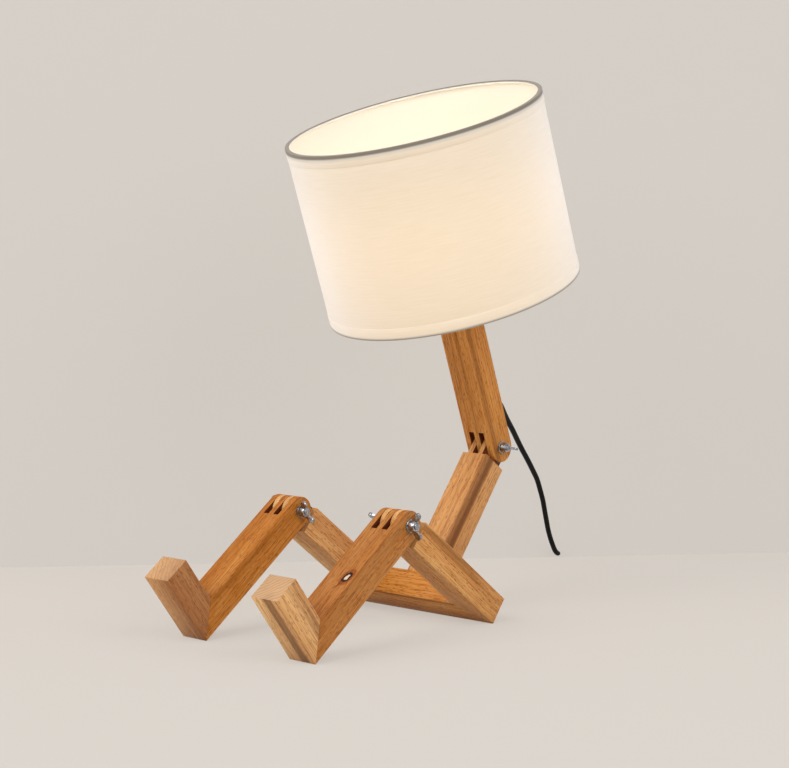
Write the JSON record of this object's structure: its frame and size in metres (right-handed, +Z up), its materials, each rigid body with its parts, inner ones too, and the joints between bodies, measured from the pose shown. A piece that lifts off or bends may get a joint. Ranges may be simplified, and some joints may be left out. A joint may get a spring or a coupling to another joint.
{
  "type": "desk lamp",
  "caption": "Desk lamp shaped like a seated figure: hinged wooden bars with wing nuts, and a white drum shade for a head.",
  "frame": {"origin": "middle of the lamp without its cord, at the height of the surface it sits on", "axes": "+Z up, the figure faces -Y, +X to the figure's left"},
  "size_m": [0.2224, 0.7779, 0.4587],
  "materials": {
    "oiled_wood": "oiled, satin",
    "dowel_wood": "plain beech",
    "zinc": "bright zinc plated",
    "brass": "satin",
    "black_plastic": "fine satin",
    "porcelain": "glazed",
    "white_wire": "white powder coat",
    "shade_liner": "stiff laminate, lets light through",
    "white_fabric": "fine plain weave, lets light through",
    "opal_globe": "opal",
    "white_plastic": "satin",
    "aluminium": "plain",
    "led": "clear over phosphor",
    "circuit_board": "lacquered",
    "nickel": "nickel plated",
    "black_glass": "glossy",
    "black_cord": "smooth soft sheath",
    "grey_tie": "soft",
    "red_plastic": "glossy"
  },
  "bodies": {
    "seat": {"hip_bar": "oiled_wood", "left_thigh": "oiled_wood", "right_thigh": "oiled_wood", "hip_dowels": "dowel_wood", "torso_beam": "oiled_wood", "torso_dowels": "dowel_wood", "cord_lead": "black_cord", "cord_coil": "black_cord", "cord_tie": "grey_tie", "switch_lower_shell": "black_plastic", "switch_upper_shell": "black_plastic", "switch_contacts": "brass", "switch_screws": "zinc", "plug_body": "black_plastic", "plug_pins": "nickel", "plug_sleeves": "black_plastic"},
    "left_lower_leg": {"left_shin": "oiled_wood", "left_foot": "oiled_wood", "left_ankle_dowels": "dowel_wood", "left_knee_bolt": "zinc", "left_knee_washers": "zinc"},
    "right_lower_leg": {"right_shin": "oiled_wood", "right_foot": "oiled_wood", "right_ankle_dowels": "dowel_wood", "right_knee_bolt": "zinc", "right_knee_washers": "zinc"},
    "upper_body": {"upper_beam": "oiled_wood", "waist_bolt": "zinc", "waist_washers": "zinc", "threaded_tube": "brass", "tube_nut": "zinc", "holder_cap": "black_plastic", "holder_shell": "black_plastic", "holder_insert": "porcelain", "holder_screw_contact": "brass", "holder_centre_contact": "brass", "shade_ring": "black_plastic", "shade_fitter": "white_wire", "shade_top_wire": "white_wire", "shade_liner": "shade_liner", "shade_fabric": "white_fabric", "shade_top_hem": "white_fabric", "shade_bottom_hem": "white_fabric", "bulb_globe": "opal_globe", "bulb_housing": "white_plastic", "bulb_led_plate": "aluminium", "bulb_leds": "led", "bulb_driver": "circuit_board", "bulb_screw_cap": "nickel", "bulb_insulator": "black_glass", "bulb_end_contact": "nickel", "inner_cable": "black_cord", "cord_bush": "black_plastic"},
    "left_knee_nut": {"left_knee_wing_nut": "zinc"},
    "right_knee_nut": {"right_knee_wing_nut": "zinc"},
    "waist_nut": {"waist_wing_nut": "zinc"},
    "rocker": {"switch_rocker": "red_plastic"}
  },
  "joints": [
    {"name": "left_knee", "type": "hinge", "parent": "seat", "child": "left_lower_leg", "pos_m": [0.0615, -0.04901, 0.09317], "axis": [1, 0, 0], "range_deg": [-170, 24]},
    {"name": "right_knee", "type": "hinge", "parent": "seat", "child": "right_lower_leg", "pos_m": [-0.0615, -0.04901, 0.09317], "axis": [1, 0, 0], "range_deg": [-170, 24]},
    {"name": "waist", "type": "hinge", "parent": "seat", "child": "upper_body", "pos_m": [0, 0.13903, 0.13661], "axis": [1, 0, 0], "range_deg": [-100, 36], "deforming": ["cord_lead"]},
    {"name": "left_knee_nut_turn", "type": "hinge", "parent": "left_lower_leg", "child": "left_knee_nut", "pos_m": [0.0785, -0.04901, 0.09317], "axis": [1, 0, 0], "continuous": true},
    {"name": "right_knee_nut_turn", "type": "hinge", "parent": "right_lower_leg", "child": "right_knee_nut", "pos_m": [-0.0445, -0.04901, 0.09317], "axis": [1, 0, 0], "continuous": true},
    {"name": "waist_nut_turn", "type": "hinge", "parent": "upper_body", "child": "waist_nut", "pos_m": [0.017, 0.13903, 0.13661], "axis": [1, 0, 0], "continuous": true},
    {"name": "switch_rocker_tilt", "type": "hinge", "parent": "seat", "child": "rocker", "pos_m": [-0.097, 0.419, 0.0115], "axis": [1, 0, 0], "range_deg": [-14, 0]}
  ]
}
